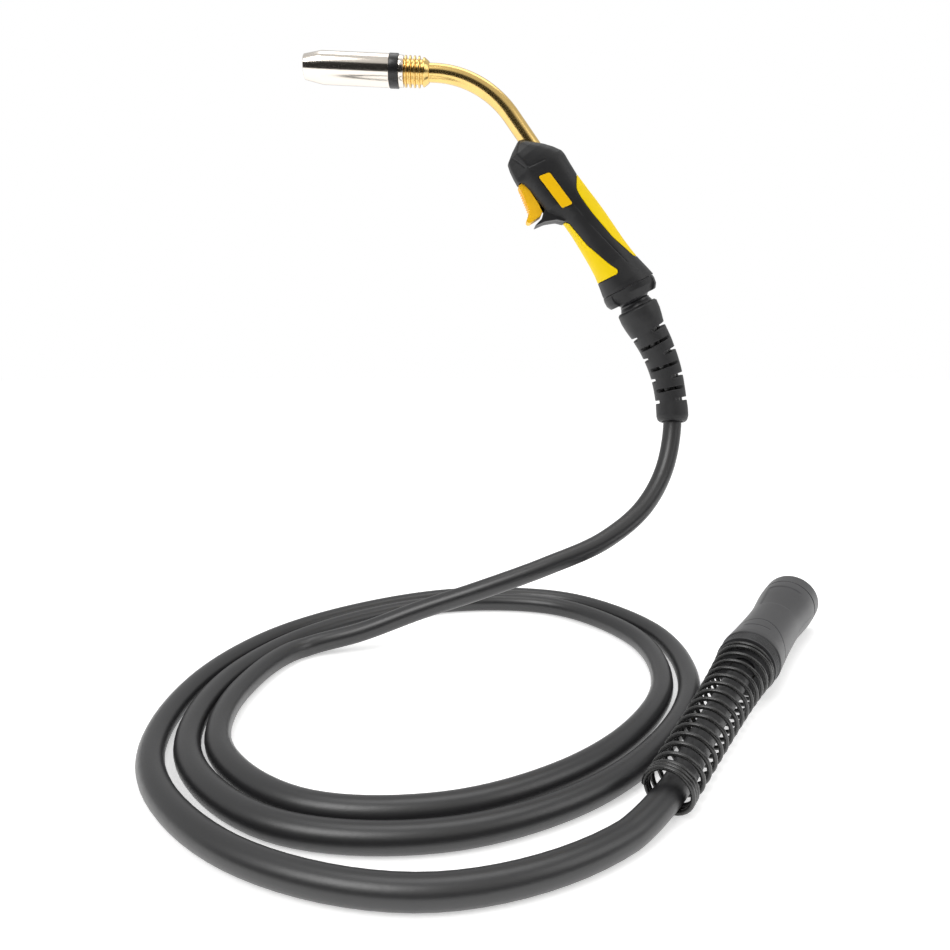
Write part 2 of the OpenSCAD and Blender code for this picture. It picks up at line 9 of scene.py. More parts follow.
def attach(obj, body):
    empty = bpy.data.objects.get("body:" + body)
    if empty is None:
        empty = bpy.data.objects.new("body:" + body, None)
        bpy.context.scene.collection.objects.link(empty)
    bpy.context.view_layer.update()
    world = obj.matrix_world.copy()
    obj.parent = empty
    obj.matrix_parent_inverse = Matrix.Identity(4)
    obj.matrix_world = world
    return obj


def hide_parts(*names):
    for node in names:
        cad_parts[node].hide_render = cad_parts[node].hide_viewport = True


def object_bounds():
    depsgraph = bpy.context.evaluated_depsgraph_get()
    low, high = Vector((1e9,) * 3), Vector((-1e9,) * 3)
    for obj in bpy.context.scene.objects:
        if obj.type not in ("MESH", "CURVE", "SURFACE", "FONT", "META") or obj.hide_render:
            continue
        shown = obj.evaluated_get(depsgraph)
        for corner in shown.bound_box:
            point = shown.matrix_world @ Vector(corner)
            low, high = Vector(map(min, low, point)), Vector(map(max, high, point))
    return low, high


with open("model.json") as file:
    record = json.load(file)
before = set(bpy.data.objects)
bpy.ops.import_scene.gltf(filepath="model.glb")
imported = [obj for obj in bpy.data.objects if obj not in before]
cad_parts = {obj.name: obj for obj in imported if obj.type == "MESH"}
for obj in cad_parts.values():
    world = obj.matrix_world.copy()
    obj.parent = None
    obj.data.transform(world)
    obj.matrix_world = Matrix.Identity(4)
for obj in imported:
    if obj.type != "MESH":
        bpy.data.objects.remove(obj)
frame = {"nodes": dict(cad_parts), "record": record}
cad_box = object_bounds()

MM = 0.001
TURN = 2 * math.pi
ON_AXIS = 0.0005  # the radius at which a turned outline closes, a hair off its axis
scene = bpy.context.scene
scene.view_settings.view_transform = "Standard"

# ---------- Sizes of the torch, in millimetres, in the part's own frame, as in the CAD ----------
FLOOR = -373
NOZZLE_LEN = 76
NECK_D = 15.5
NECK_R = 90
NECK_RUN = 31.3
NOZZLE_TILT = math.radians(2.5)
BEND = math.radians(53.5)
BEND_X, BEND_Z = -149.4, 136.8
HOSE_R = 8.5
LAY = FLOOR + HOSE_R
BALL = Vector((34, 0, -51))
PLUG = Vector((108.8, -152.2, FLOOR + 24.5))
PLUG_TURN = math.radians(55.8)
ALONG_PLUG = Vector((math.cos(PLUG_TURN), math.sin(PLUG_TURN), 0))
REAR = -20
PLUG_REAR = PLUG + REAR * ALONG_PLUG
SPRING_AT = PLUG_REAR - 175.4 * ALONG_PLUG - Vector((0, 0, 9))
SPRING_WIRE = 3
SPRING_TURNS = 18
DOWN_HANDLE = Vector((math.cos(BEND), 0, -math.sin(BEND)))
DOWN_NOZZLE = Vector((math.cos(NOZZLE_TILT), 0, -math.sin(NOZZLE_TILT)))


def on_bend(a):
    """A point on the neck's arc, where the neck slopes down by a."""
    return Vector((BEND_X + NECK_R * math.sin(a), 0, BEND_Z - NECK_R * (1 - math.cos(a))))


NOZZLE = on_bend(NOZZLE_TILT) - (NOZZLE_LEN + 40.5) * DOWN_NOZZLE
HANDLE = on_bend(BEND) + NECK_RUN * DOWN_HANDLE

AT_NOZZLE = Matrix.Translation(NOZZLE) @ Matrix.Rotation(NOZZLE_TILT, 4, "Y")
AT_HANDLE = Matrix.Translation(HANDLE) @ Matrix.Rotation(BEND, 4, "Y")
AT_BALL = Matrix.Translation(BALL) @ Matrix.Rotation(math.atan(2), 4, "Y")
AT_PLUG = Matrix.Translation(PLUG) @ Matrix.Rotation(PLUG_TURN, 4, "Z")

# ---------- Camera ----------
CAMERA_AT = (-0.110, -0.675, -0.117)
CAMERA_DOWN = 9.3  # degrees below the level
camera = bpy.data.objects.new("camera", bpy.data.cameras.new("camera"))
camera.location = CAMERA_AT
camera.rotation_euler = (math.radians(90 - CAMERA_DOWN), 0, 0)
camera.data.sensor_width = 36
camera.data.lens = 26.5
camera.data.clip_start = 0.01
scene.collection.objects.link(camera)
scene.camera = camera


# ---------- Materials ----------
def finish(name, colour, rough, metal=0.0, shift=0.12, grain=900.0, bump=0.05, blotch=40.0, rough_shift=0.1,
           stretch=(1, 1, 1), specular=0.5):
    """A surface whose colour and roughness wander a little, with a fine grain in its normal."""
    material = bpy.data.materials.new(name)
    material.use_nodes = True
    tree = material.node_tree
    shader, new = tree.nodes["Principled BSDF"], tree.nodes.new
    place = new("ShaderNodeTexCoord")
    scale = new("ShaderNodeMapping")
    scale.inputs["Scale"].default_value = stretch
    tree.links.new(place.outputs["Object"], scale.inputs["Vector"])
    wander = new("ShaderNodeTexNoise")
    wander.inputs["Scale"].default_value = blotch
    wander.inputs["Detail"].default_value = 4
    fine = new("ShaderNodeTexNoise")
    fine.inputs["Scale"].default_value = grain
    fine.inputs["Detail"].default_value = 3
    for texture in (wander, fine):
        tree.links.new(scale.outputs["Vector"], texture.inputs["Vector"])
    ramp = new("ShaderNodeValToRGB")
    ramp.color_ramp.elements[0].position = 0.3
    ramp.color_ramp.elements[1].position = 0.7
    ramp.color_ramp.elements[0].color = [c * (1 - shift) for c in colour] + [1]
    ramp.color_ramp.elements[1].color = [min(1, c * (1 + shift)) for c in colour] + [1]
    tree.links.new(wander.outputs["Fac"], ramp.inputs["Fac"])
    tree.links.new(ramp.outputs["Color"], shader.inputs["Base Color"])
    spread = new("ShaderNodeMapRange")
    spread.inputs["To Min"].default_value = max(0.02, rough - rough_shift)
    spread.inputs["To Max"].default_value = min(1, rough + rough_shift)
    tree.links.new(fine.outputs["Fac"], spread.inputs["Value"])
    tree.links.new(spread.outputs["Result"], shader.inputs["Roughness"])
    relief = new("ShaderNodeBump")
    relief.inputs["Strength"].default_value = bump
    relief.inputs["Distance"].default_value = 0.0004
    tree.links.new(fine.outputs["Fac"], relief.inputs["Height"])
    tree.links.new(relief.outputs["Normal"], shader.inputs["Normal"])
    shader.inputs["Metallic"].default_value = metal
    shader.inputs["Specular IOR Level"].default_value = specular
    return material


# Colour, roughness, metal, then how far the colour wanders, grain, bump, blotch size, how far the roughness
# wanders and the stretch
FINISH = {
    "nickel_plate": finish("nickel_plate", (0.80, 0.74, 0.67), 0.16, 1, 0.04, 1500, 0.02, 60, 0.05,
                           (0.15, 1, 1)),
    "spring_steel": finish("spring_steel", (0.5, 0.5, 0.52), 0.35, 1),
    "black_ceramic": finish("black_ceramic", (0.012, 0.012, 0.013), 0.3, 0, 0.2, 1200, 0.04),
    "brass": finish("brass", (0.80, 0.56, 0.20), 0.22, 1, 0.06, 1300, 0.03, 50, 0.06),
    "copper": finish("copper", (0.75, 0.38, 0.22), 0.3, 1, 0.1, 900, 0.04),
    "white_ceramic": finish("white_ceramic", (0.8, 0.78, 0.72), 0.5, 0, 0.05),
    "grey_insulation": finish("grey_insulation", (0.12, 0.12, 0.13), 0.6),
    "handle_plastic": finish("handle_plastic", (0.013, 0.013, 0.014), 0.45, 0, 0.2, 1600, 0.18, 30, 0.06,
                             specular=0.4),
    "zinc_steel": finish("zinc_steel", (0.45, 0.45, 0.47), 0.4, 1),
    "yellow_grip": finish("yellow_grip", (0.95, 0.68, 0.0), 0.5, 0, 0.03, 1500, 0.12, 25, 0.08, specular=0.2),
    "label_yellow": finish("label_yellow", (0.95, 0.55, 0.004), 0.4, 0, 0.03, 1200, 0.03, specular=0.2),
    "cable_rubber": finish("cable_rubber", (0.014, 0.014, 0.015), 0.36, 0, 0.15, 700, 0.10, 18, 0.06,
                           specular=0.75),
    "trigger_orange": finish("trigger_orange", (0.97, 0.53, 0.012), 0.4, 0, 0.05, 1200, 0.06, specular=0.3),
    "switch_plastic": finish("switch_plastic", (0.02, 0.02, 0.02), 0.5),
    "red_plastic": finish("red_plastic", (0.5, 0.03, 0.02), 0.4),
    "lead_insulation": finish("lead_insulation", (0.35, 0.02, 0.02), 0.45),
    "white_plastic": finish("white_plastic", (0.7, 0.7, 0.66), 0.4, 0, 0.04),
    "joint_plastic": finish("joint_plastic", (0.018, 0.018, 0.020), 0.35, 0, 0.15, 1200, 0.08),
    "black_rubber": finish("black_rubber", (0.014, 0.014, 0.015), 0.5, 0, 0.15, 900, 0.15, 30, 0.06),
    "black_spring": finish("black_spring", (0.012, 0.012, 0.012), 0.28, 0, 0.2, 800, 0.05, specular=0.7),
    "plug_plastic": finish("plug_plastic", (0.035, 0.035, 0.037), 0.42, 0, 0.12, 1400, 0.2, 30, 0.06),
}
for part in frame["record"]["subparts"]:
    mesh = frame["nodes"][part["node"]].data
    mesh.materials.clear()
    mesh.materials.append(FINISH[part["material_slot"]])


# ---------- Mesh helpers ----------
def smooth(mesh, angle):
    mesh.polygons.foreach_set("use_smooth", [True] * len(mesh.polygons))
    mesh.set_sharp_from_angle(angle=math.radians(angle))


def piece(name, mesh, slot, body, nodes, angle=35):
    """A finished visible piece, given in millimetres in the part's frame."""
    mesh.transform(Matrix.Scale(MM, 4))
    mesh.materials.clear()
    mesh.materials.append(FINISH[slot])
    smooth(mesh, angle)
    made = bpy.data.objects.new(name, mesh)
    scene.collection.objects.link(made)
    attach(made, body)
    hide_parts(*nodes)
    return made


def mesh_from(points, faces, place=Matrix.Identity(4)):
    """A closed mesh with its double points merged and its faces turned outward."""
    mesh = bpy.data.meshes.new("made")
    mesh.from_pydata([place @ Vector(p) for p in points], [], faces)
    tidy = bmesh.new()
    tidy.from_mesh(mesh)
    bmesh.ops.remove_doubles(tidy, verts=tidy.verts, dist=0.001)
    bmesh.ops.recalc_face_normals(tidy, faces=tidy.faces)
    tidy.to_mesh(mesh)
    tidy.free()
    return mesh


def rounded(points, radius, steps=4):
    """The outline with each corner rounded off; a corner between short sides gets a smaller round."""
    out = []
    count = len(points)
    for i in range(count):
        p = Vector(points[i])
        a = Vector(points[i - 1]) - p
        b = Vector(points[(i + 1) % count]) - p
        cut = min(radius, a.length * 0.45, b.length * 0.45)
        start, end = p + a.normalized() * cut, p + b.normalized() * cut
        for k in range(steps + 1):
            t = k / steps
            out.append(start * (1 - t) ** 2 + p * 2 * t * (1 - t) + end * t ** 2)
    return out


def lathe(profile, place, seg=96):
    """A solid of revolution about local X, from a closed outline of (distance, radius)."""
    points = []
    for k in range(seg):
        a = TURN * k / seg
        points += [(x, r * math.cos(a), r * math.sin(a)) for x, r in profile]
    n = len(profile)
    faces = []
    for k in range(seg):
        m = (k + 1) % seg
        faces += [(k * n + i, k * n + (i + 1) % n, m * n + (i + 1) % n, m * n + i) for i in range(n)]
    return mesh_from(points, faces, place)


def plate(outline, y0, y1, place):
    """An outline in local X and Z, spread from y0 to y1."""
    n = len(outline)
    points = [(x, y, z) for y in (y0, y1) for x, z in outline]
    faces = [tuple(range(n)), tuple(range(n, 2 * n))]
    faces += [(i, (i + 1) % n, n + (i + 1) % n, n + i) for i in range(n)]
    return mesh_from(points, faces, place)


def block(low, high, place):
    (x0, y0, z0), (x1, y1, z1) = low, high
    return plate([(x0, z0), (x1, z0), (x1, z1), (x0, z1)], y0, y1, place)


def combine(mesh, others, how):
    """Cuts meshes out of a mesh, joins them to it or keeps what they share."""
    base = bpy.data.objects.new("base", mesh)
    scene.collection.objects.link(base)
    for other in others:
        tool = bpy.data.objects.new("tool", other)
        scene.collection.objects.link(tool)
        cut = base.modifiers.new("cut", "BOOLEAN")
        cut.operation = how
        cut.solver = "EXACT"
        cut.object = tool
        bpy.context.view_layer.update()
        done = bpy.data.meshes.new_from_object(base.evaluated_get(bpy.context.evaluated_depsgraph_get()))
        base.modifiers.clear()
        base.data = done
        bpy.data.objects.remove(tool)
    result = base.data
    bpy.data.objects.remove(base)
    return result


def softened(mesh, voxel, passes):
    """The same solid with its edges rounded over about a voxel."""
    base = bpy.data.objects.new("base", mesh)
    scene.collection.objects.link(base)
    remesh = base.modifiers.new("remesh", "REMESH")
    remesh.mode = "VOXEL"
    remesh.voxel_size = voxel
    ease = base.modifiers.new("ease", "SMOOTH")
    ease.factor = 0.5
    ease.iterations = passes
    bpy.context.view_layer.update()
    done = bpy.data.meshes.new_from_object(base.evaluated_get(bpy.context.evaluated_depsgraph_get()))
    bpy.data.objects.remove(base)
    return done


# ---------- The hose's route, as in the CAD ----------
# From the ball joint down to the floor
DROP = [(40, 0, -63), (50.2, 0, -83.4), (62.3, 0, -104.5), (71.6, 0, -126.5), (77, -1, -149),
        (79.3, -4, -171), (77, -10, -193), (68, -21, -222), (47, -37, -252), (10, -54, -278),
        (-45, -68, -299), (-104, -75, -319), (-160, -76, -338), (-212, -82, -356)]
# Turns on the floor: a radius at every 30 degrees about one centre
TURN_CENTRE = (-128, -170)
TURN_FROM, TURN_STEP = 150, 30
TURN_RADII = [150, 160, 171, 166, 148, 137, 141, 162, 189, 203, 187, 170,
              169, 178, 190, 187, 171, 160, 162, 183, 212, 226, 208, 190,
              190, 198, 212, 213, 211, 198]
INTO_PLUG = [(-0.6, -313.3, -360.5), (37.4, -257.3, -355.2), (73, -205, -350.6),
             tuple(PLUG_REAR - 14 * ALONG_PLUG), tuple(PLUG_REAR)]
TURNS = [(TURN_CENTRE[0] + r * math.cos(math.radians(TURN_FROM + TURN_STEP * i)),
          TURN_CENTRE[1] + r * math.sin(math.radians(TURN_FROM + TURN_STEP * i)), LAY)
         for i, r in enumerate(TURN_RADII)]
ROUTE = [Vector(p) for p in DROP + TURNS + INTO_PLUG]


def slope(p, i):
    """The route's direction at point i."""
    if i == 0:
        return (p[1] - p[0]).normalized()
    if i == len(p) - 1:
        return (p[i] - p[i - 1]).normalized()
    a, b = (p[i] - p[i - 1]).length, (p[i + 1] - p[i]).length
    return ((p[i] - p[i - 1]) / a * b + (p[i + 1] - p[i]) / b * a) / (a + b)


def on_curve(p, u):
    """A point on the smooth curve through p, never lower than where the hose lies."""
    i = min(int(u), len(p) - 2)
    t = u - i
    d = (p[i + 1] - p[i]).length
    q = ((2 * t**3 - 3 * t**2 + 1) * p[i] + (t**3 - 2 * t**2 + t) * d * slope(p, i)
         + (3 * t**2 - 2 * t**3) * p[i + 1] + (t**3 - t**2) * d * slope(p, i + 1))
    q.z = max(q.z, LAY)
    return q


def wire(name, path, radius, slot, body, nodes, sides):
    """A round wire, cord or hose on one open line of points."""
    data = bpy.data.curves.new(name, "CURVE")
    data.dimensions = "3D"
    data.bevel_depth = radius * MM
    data.bevel_resolution = sides // 4
    data.use_fill_caps = True
    line = data.splines.new("POLY")
    line.points.add(len(path) - 1)
    for point, place in zip(line.points, path):
        point.co = (*(Vector(place) * MM), 1)
    line.use_smooth = True
    data.materials.append(FINISH[slot])
    made = bpy.data.objects.new(name, data)
    scene.collection.objects.link(made)
    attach(made, body)
    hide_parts(*nodes)
    return made


def sweep(path, radii, n, up):
    """A tube mesh along a path; radii is one number per point."""
    points = []
    for i, p in enumerate(path):
        t = (path[min(i + 1, len(path) - 1)] - path[max(i - 1, 0)]).normalized()
        side = t.cross(up).normalized()
        other = side.cross(t)
        points += [p + radii[i] * (math.cos(TURN * k / n) * side + math.sin(TURN * k / n) * other)
                   for k in range(n)]
    last = len(path) - 1
    faces = [tuple(range(n)), tuple(last * n + k for k in range(n))]
    faces += [(i * n + k, i * n + (k + 1) % n, (i + 1) * n + (k + 1) % n, (i + 1) * n + k)
              for i in range(last) for k in range(n)]
    return mesh_from(points, faces)


HOSE_IN_PLUG = 18
hose_path = [on_curve(ROUTE, k / 10) for k in range(10 * (len(ROUTE) - 1) + 1)]
hose_path.append(PLUG_REAR + HOSE_IN_PLUG * ALONG_PLUG)
hose = wire("hose_skin", hose_path, HOSE_R, "cable_rubber", "cable_side", ["hose"], 32)

# ---------- Support spring ----------
SPRING_R, SPRING_TAPER, SPRING_FLARE = 14, 3, 3.5
CLOSED_FREE, CLOSED_NIPPLE = 2.5, 1.5  # closed turns at the free end and on the nipple
SPRING_STOP = 1.8  # from the last turn to the rear of the plug
PER_TURN = 32  # points of the helix in a turn
spring_axis = PLUG_REAR - SPRING_AT
spring_len = spring_axis.length


def spring_place(t):
    """How far along its axis the wire is after t turns, and its radius there."""
    pitch = SPRING_WIRE + 0.1
    if t < CLOSED_FREE:
        x = pitch * t
    elif t > SPRING_TURNS - CLOSED_NIPPLE:
        x = spring_len - SPRING_STOP - pitch * (SPRING_TURNS - t)
    else:
        closed = CLOSED_FREE + CLOSED_NIPPLE
        x = CLOSED_FREE * pitch + (t - CLOSED_FREE) * (spring_len - SPRING_STOP - closed * pitch) \
            / (SPRING_TURNS - closed)
    f = x / spring_len
    return x, SPRING_R + SPRING_TAPER * f + SPRING_FLARE * f**4


AT_SPRING = Matrix.Translation(SPRING_AT) @ Matrix.Rotation(PLUG_TURN, 4, "Z") \
    @ Matrix.Rotation(-math.asin(spring_axis.z / spring_len), 4, "Y")
helix = []
for k in range(SPRING_TURNS * PER_TURN + 1):
    x, r = spring_place(k / PER_TURN)
    a = TURN * k / PER_TURN
    helix.append(AT_SPRING @ Vector((x, r * math.cos(a), r * math.sin(a))))
spring = wire("support_spring_wire", helix, SPRING_WIRE / 2, "black_spring", "cable_side",
              ["support_spring"], 16)

# ---------- Machine plug ----------
HOUSING_END = 139.8
WAIST_S, WAIST_R = 75, 21.3
REAR_SWELL, FRONT_SWELL = 1.7, 3.1
HOUSING_WALL = 2.5


def housing_r(s):
    """The plug's outer radius at a distance s along it, narrowest at the waist."""
    if s < WAIST_S:
        return WAIST_R + REAR_SWELL * ((WAIST_S - s) / WAIST_S) ** 2
    return WAIST_R + FRONT_SWELL * (1 - math.cos(math.pi * (s - WAIST_S) / 65)) / 2


# Nipple at the plug's rear, with fine grooves round its band
grooves = []
for i in range(9):
    x = 0.8 + 1.4 * i
    grooves += [(x, 22.3), (x + 0.6, 22.3), (x + 0.8, 21.7), (x + 1.2, 21.7)]
nipple = piece("spring_nipple_band", lathe(
    rounded([(-8, 9.2), (-8, 18.6), (-7.6, 18.8), (0, 18.8), (0, 22)] + grooves
            + [(14, 22), (14, 9), (0, 9), (0, 9.2)], 0.15, 1),
    AT_PLUG @ Matrix.Translation((REAR, 0, 0)), 128), "plug_plastic", "cable_side", ["spring_nipple"], 25)


def ease_in(x):
    """A soft step from 0 to 1."""
    x = max(0.0, min(1.0, x))
    return x * x * (3 - 2 * x)


def housing_half(name, node, first):
    """Half of the plug's shell. The upper half has a curved ridge, a cross line and a sunk blank panel."""
    rows, seg = 180, 72
    start = REAR + 14
    gap = 0.004  # radians left open at each edge, as the joint between the halves
    points, faces = [], []
    for i in range(rows + 1):
        s = start + (HOUSING_END - start) * i / rows
        for k in range(seg + 1):
            a = first + gap + (math.pi - 2 * gap) * k / seg
            from_top = abs(math.degrees(a) - 90)
            r = housing_r(max(s, 0))
            r -= 0.8 * (1 - ease_in((s - start) / 1.0))
            r -= 0.5 * ease_in((s - 138.6) / 1.2)
            if first == 0:
                edge = 22 + 8 * math.cos(math.radians(from_top) * 2)
                r -= 0.55 * ease_in(1 - abs(s - edge) / 0.9)
                r -= 0.5 * ease_in(1 - abs(s - 14) / 0.9) * ease_in((28 - from_top) / 4)
                inside = ease_in((36 - from_top) / 3) * ease_in((s - 78) / 2.0) * ease_in((126 - s) / 2.0)
                r -= 0.6 * inside
            points.append((s, r * math.cos(a), r * math.sin(a)))
    across = seg + 1
    outer = len(points)
    for i in range(rows + 1):
        s = start + (HOUSING_END - start) * i / rows
        inner = 9.0 if s < 0 else (12.0 if s > 126 else housing_r(s) - HOUSING_WALL)
        if s > 130:
            inner = 15.5
        for k in range(seg + 1):
            a = first + gap + (math.pi - 2 * gap) * k / seg
            points.append((s, inner * math.cos(a), inner * math.sin(a)))

    def at(i, k, layer=0):
        return layer * outer + i * across + k

    for layer in (0, 1):
        faces += [(at(i, k, layer), at(i, k + 1, layer), at(i + 1, k + 1, layer), at(i + 1, k, layer))
                  for i in range(rows) for k in range(seg)]
    for i in (0, rows):
        faces += [(at(i, k), at(i, k + 1), at(i, k + 1, 1), at(i, k, 1)) for k in range(seg)]
    for k in (0, seg):
        faces += [(at(i, k), at(i + 1, k), at(i + 1, k, 1), at(i, k, 1)) for i in range(rows)]
    return piece(name, mesh_from(points, faces, AT_PLUG), "plug_plastic", "cable_side", [node], 30)


top_half = housing_half("plug_shell_top", "housing_top", 0.0)
low_half = housing_half("plug_shell_low", "housing_bottom", math.pi)

# ---------- Floor, surroundings and lights ----------
FLOOR_X, FLOOR_NEAR, FLOOR_FAR = 6, -0.95, 9  # metres
PAPER_GLOW = 0.46
SKY_STRENGTH = 0.75
floor_mesh = bpy.data.meshes.new("floor")
floor_corners = [(-FLOOR_X, FLOOR_NEAR), (FLOOR_X, FLOOR_NEAR), (FLOOR_X, FLOOR_FAR), (-FLOOR_X, FLOOR_FAR)]
floor_mesh.from_pydata([(x, y, FLOOR * MM) for x, y in floor_corners], [], [(0, 1, 2, 3)])
floor = bpy.data.objects.new("floor", floor_mesh)
scene.collection.objects.link(floor)
paper = finish("floor_paper", (0.92, 0.92, 0.92), 0.8, 0, 0.01, 200, 0.0, 5, 0.02, specular=0.0)
paper_shader = paper.node_tree.nodes["Principled BSDF"]
paper_shader.inputs["Emission Color"].default_value = (1, 1, 1, 1)
paper_shader.inputs["Emission Strength"].default_value = PAPER_GLOW
floor_mesh.materials.append(paper)

# The camera sees plain white. Everything else sees a grey studio, with a wide dark band on the near side that
# draws the dark stripes in the nozzle and the neck.
world = bpy.data.worlds.new("studio")
scene.world = world
world.use_nodes = True
sky = world.node_tree
seen = sky.nodes["Background"]
seen.inputs["Color"].default_value = (1, 1, 1, 1)
seen.inputs["Strength"].default_value = 1.0
toward = sky.nodes.new("ShaderNodeTexCoord")
split = sky.nodes.new("ShaderNodeSeparateXYZ")
sky.links.new(toward.outputs["Generated"], split.inputs["Vector"])
height = sky.nodes.new("ShaderNodeMapRange")
height.inputs["From Min"].default_value = -1
sky.links.new(split.outputs["Z"], height.inputs["Value"])
bands = sky.nodes.new("ShaderNodeValToRGB")
# Place from straight down (0) to straight up (1), and grey
BANDS = [(0.0, 0.75), (0.19, 0.75), (0.215, 0.035), (0.70, 0.035), (0.735, 0.9), (1.0, 1.0)]
bands.color_ramp.elements[0].position, bands.color_ramp.elements[1].position = BANDS[0][0], BANDS[-1][0]
for place, _ in BANDS[1:-1]:
    bands.color_ramp.elements.new(place)
for step, (place, grey) in zip(bands.color_ramp.elements, BANDS):
    step.color = (grey, grey * 0.985, grey * 0.96, 1)
sky.links.new(height.outputs["Result"], bands.inputs["Fac"])
behind = sky.nodes.new("ShaderNodeMapRange")
behind.inputs["From Min"].default_value = -0.45
behind.inputs["From Max"].default_value = -0.15
sky.links.new(split.outputs["Y"], behind.inputs["Value"])
around = sky.nodes.new("ShaderNodeMixRGB")
around.inputs["Color2"].default_value = (0.9, 0.9, 0.9, 1)
sky.links.new(behind.outputs["Result"], around.inputs["Fac"])
sky.links.new(bands.outputs["Color"], around.inputs["Color1"])
lit = sky.nodes.new("ShaderNodeBackground")
lit.inputs["Strength"].default_value = SKY_STRENGTH
sky.links.new(around.outputs["Color"], lit.inputs["Color"])
ray = sky.nodes.new("ShaderNodeLightPath")
pick = sky.nodes.new("ShaderNodeMixShader")
sky.links.new(ray.outputs["Is Camera Ray"], pick.inputs["Fac"])
sky.links.new(lit.outputs["Background"], pick.inputs[1])
sky.links.new(seen.outputs["Background"], pick.inputs[2])
sky.links.new(pick.outputs["Shader"], sky.nodes["World Output"].inputs["Surface"])


def softbox(name, place, target, size, power):
    data = bpy.data.lights.new(name, "AREA")
    data.shape = "RECTANGLE"
    data.size, data.size_y = size
    data.energy = power
    lamp = bpy.data.objects.new(name, data)
    lamp.location = place
    lamp.rotation_mode = "QUATERNION"
    lamp.rotation_quaternion = (Vector(target) - Vector(place)).to_track_quat("-Z", "Y")
    scene.collection.objects.link(lamp)


softbox("key", (-1.2, -1.6, 1.8), (-0.05, -0.1, -0.1), (1.4, 1.4), 30)
softbox("fill", (1.6, -1.0, 1.0), (0, -0.1, -0.1), (1.2, 1.2), 7)
softbox("top", (0.0, 0.3, 2.2), (-0.05, -0.1, -0.2), (2.0, 1.2), 14)

# ---------- Nozzle end ----------
def turned(name, profile, slot, body, nodes, soft, seg=96):
    """A turned piece of the nozzle end; distances in its profile start at the nozzle's mouth."""
    return piece(name, lathe(rounded(profile, soft, 3), AT_NOZZLE, seg), slot, body, nodes)


N = NOZZLE_LEN
turned("nozzle_shroud", [
    (0, 8), (0, 10.3), (16, 13.5), (N - 0.1, 13.5), (N - 0.1, 11.2), (N - 20.5, 11.2), (N - 20.5, 10.5),
    (30, 10.5), (14, 9.6), (6, 8)], "nickel_plate", "nozzle", ["gas_nozzle"], 0.7, 128)
turned("insulator_flange", [
    (N - 20, 9), (N - 20, 10.7), (N - 19, 11.15), (N - 14.5, 11.15), (N - 14.5, 10), (N - 8.8, 10),
    (N - 8.8, 11.15), (N, 11.15), (N, 14), (N + 8, 14), (N + 8, 9)],
       "black_ceramic", "handle", ["insulator_ring"], 0.5)
turned("seat_ring", [(N + 8, 9), (N + 8, 12.8), (N + 12.5, 12.8), (N + 12.5, 9)],
       "nickel_plate", "handle", ["seat_collar"], 0.6)
x0 = N + 12.5
fins = [(N - 22, 5), (N - 22, 9), (x0, 9), (x0, 10)]
for i in range(4):
    x = x0 + 1 + 4 * i
    fins += [(x, 10), (x + 0.2, 12.75), (x + 1.7, 12.75), (x + 1.9, 10)]
fins += [(x0 + 17, 10), (x0 + 17.2, 11.6), (x0 + 18.6, 11.8), (x0 + 22.6, 8.8), (x0 + 23, 7.75),
         (x0 + 11, 7.75), (x0 + 11, 5.25), (N - 11, 5.25), (N - 11, 5)]
turned("fin_socket", fins, "brass", "handle", ["finned_socket"], 0.5)

neck_line = [NOZZLE + (N + 24) * DOWN_NOZZLE] + [
    on_bend(NOZZLE_TILT + (BEND - NOZZLE_TILT) * i / 48) for i in range(49)] + [HANDLE + 38 * DOWN_HANDLE]
neck_mesh = sweep(neck_line, [NECK_D / 2] * len(neck_line), 72, Vector((0, 1, 0)))
piece("neck_jacket", neck_mesh, "brass", "handle", ["neck_tube"], 50)

# ---------- Handle ----------
# The handle's sections: distance, top, bottom, half width, and how square the section is
STATIONS = [(-9, -6, -11, 9, 2), (-5, -1.5, -19, 13, 2.4), (0, 3, -27, 15.6, 2.6),
            (6, 9, -28.8, 16.8, 2.6), (13, 14.5, -30, 17.4, 2.6), (20, 18.6, -30.6, 17.6, 2.7),
            (24, 19, -28, 17.6, 2.8), (32, 18.4, -26.3, 17.6, 2.8), (44, 17.8, -26, 17.6, 2.8),
            (56, 18.5, -25, 17.4, 2.7), (62, 18.9, -21.5, 17, 2.5), (67, 19.3, -18, 16.6, 2.4),
            (74, 19.8, -16, 16.3, 2.3), (86, 20.2, -15.9, 16.2, 2.3), (100, 20.3, -16.7, 16.6, 2.2),
            (116, 20.2, -17.8, 17.8, 2.2), (128, 20.8, -19.2, 19.4, 2.1), (138, 21.8, -21.4, 21.4, 2),
            (148, 23.4, -24, 23.4, 2), (162, 25.4, -26, 25, 2)]
# Side outlines, as distance along the handle and height
PALM = [(44.5, 17), (55.5, 7.6), (62, 6.7), (80, 7.1), (110, 10.2), (136, 17.3), (135, 30), (44.5, 30)]
FRONT = [(72, -30), (72, -15.5), (76, -13.6), (102, -11.8), (128, -6.2), (135.5, -3.6), (138.4, -5.7),
         (134.5, -24), (134, -30)]
GUARD = [(48, -12), (49, -17), (52, -23), (57.3, -30), (59, -40.3), (61.5, -30), (66.5, -20.5),
         (72, -15.9), (72, -12)]
LABEL = [(27.6, -13.2), (28.6, -14.1), (61.2, -12.6), (62.2, -11.8), (64.2, -3.8), (63.4, -2.8),
         (31.2, -4), (30.2, -4.8)]
SCREWS = [(8, -19), (62, 13.3), (64, -15), (112, 13.5), (130, -13.2)]
WIDE = 30  # past the handle's side
INLAY_GAP = 0.4
# Shallow lines in the side of the head, and the long parting line of the grip
LINES = [[(-1.5, -22.8), (14, -18.9)], [(15.4, -17.8), (19.6, 0)], [(57, -3.8), (94, 1.1), (136, 7.5)]]


